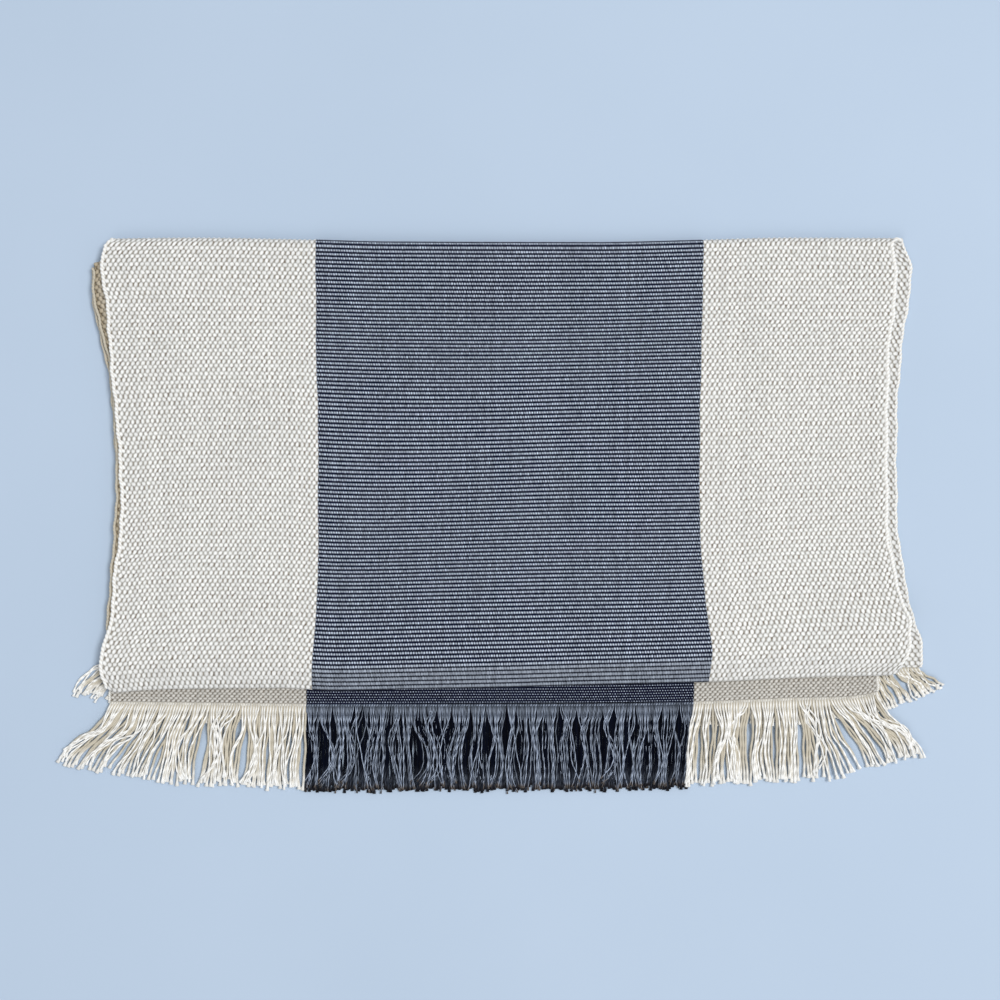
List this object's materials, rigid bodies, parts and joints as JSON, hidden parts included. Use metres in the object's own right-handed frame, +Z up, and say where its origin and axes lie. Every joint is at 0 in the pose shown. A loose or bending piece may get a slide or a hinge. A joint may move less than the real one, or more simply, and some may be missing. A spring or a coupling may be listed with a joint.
{
  "type": "bath mat",
  "caption": "Handwoven cotton bath mat with cream and slate warp bands, folded in four, with a fringe at both ends.",
  "frame": {"origin": "centre of the folded mat's bounding box, on the floor", "axes": "+X across the web, along the back fold; +Y from the fringe to the back fold; +Z up from the floor"},
  "size_m": [0.6622, 0.4156, 0.0122],
  "materials": {
    "cream_web": "matte",
    "slate_web": "matte",
    "cream_yarn": "matte",
    "slate_yarn": "matte"
  },
  "bodies": {
    "base_leaf": {"fringe_under_end_cream_left": "cream_yarn", "fringe_under_end_cream_right": "cream_yarn", "fringe_under_end_slate_middle": "slate_yarn", "fringe_upper_end_cream_left": "cream_yarn", "fringe_upper_end_cream_right": "cream_yarn", "fringe_upper_end_slate_middle": "slate_yarn", "inner_back_fold_cream_left": "cream_web", "inner_back_fold_cream_right": "cream_web", "inner_back_fold_slate_middle": "slate_web", "lock_row_under_end_cream_left": "cream_yarn", "lock_row_under_end_cream_right": "cream_yarn", "lock_row_under_end_slate_middle": "slate_yarn", "lock_row_upper_end_cream_left": "cream_yarn", "lock_row_upper_end_cream_right": "cream_yarn", "lock_row_upper_end_slate_middle": "slate_yarn", "lower_inner_cream_left": "cream_web", "lower_inner_cream_right": "cream_web", "lower_inner_slate_middle": "slate_web", "lower_outer_cream_left": "cream_web", "lower_outer_cream_right": "cream_web", "lower_outer_slate_middle": "slate_web", "outer_back_fold_cream_left": "cream_web", "outer_back_fold_cream_right": "cream_web", "outer_back_fold_slate_middle": "slate_web", "selvedge_left_inner_back_fold": "cream_yarn", "selvedge_left_lower_inner": "cream_yarn", "selvedge_left_lower_outer": "cream_yarn", "selvedge_left_outer_back_fold": "cream_yarn", "selvedge_right_inner_back_fold": "cream_yarn", "selvedge_right_lower_inner": "cream_yarn", "selvedge_right_lower_outer": "cream_yarn", "selvedge_right_outer_back_fold": "cream_yarn"},
    "top_leaf": {"front_fold_cream_left": "cream_web", "front_fold_cream_right": "cream_web", "front_fold_slate_middle": "slate_web", "selvedge_left_front_fold": "cream_yarn", "selvedge_left_upper_inner": "cream_yarn", "selvedge_left_upper_outer": "cream_yarn", "selvedge_right_front_fold": "cream_yarn", "selvedge_right_upper_inner": "cream_yarn", "selvedge_right_upper_outer": "cream_yarn", "upper_inner_cream_left": "cream_web", "upper_inner_cream_right": "cream_web", "upper_inner_slate_middle": "slate_web", "upper_outer_cream_left": "cream_web", "upper_outer_cream_right": "cream_web", "upper_outer_slate_middle": "slate_web"}
  },
  "joints": [
    {"name": "top_fold", "type": "hinge", "parent": "base_leaf", "child": "top_leaf", "pos_m": [0, 0.2078, 0.0061], "axis": [-1, 0, 0], "range_deg": [0, 179.9], "deforming": ["outer_back_fold_cream_left", "outer_back_fold_slate_middle", "outer_back_fold_cream_right", "inner_back_fold_cream_left", "inner_back_fold_slate_middle", "inner_back_fold_cream_right", "selvedge_left_outer_back_fold", "selvedge_right_outer_back_fold", "selvedge_left_inner_back_fold", "selvedge_right_inner_back_fold"]}
  ]
}
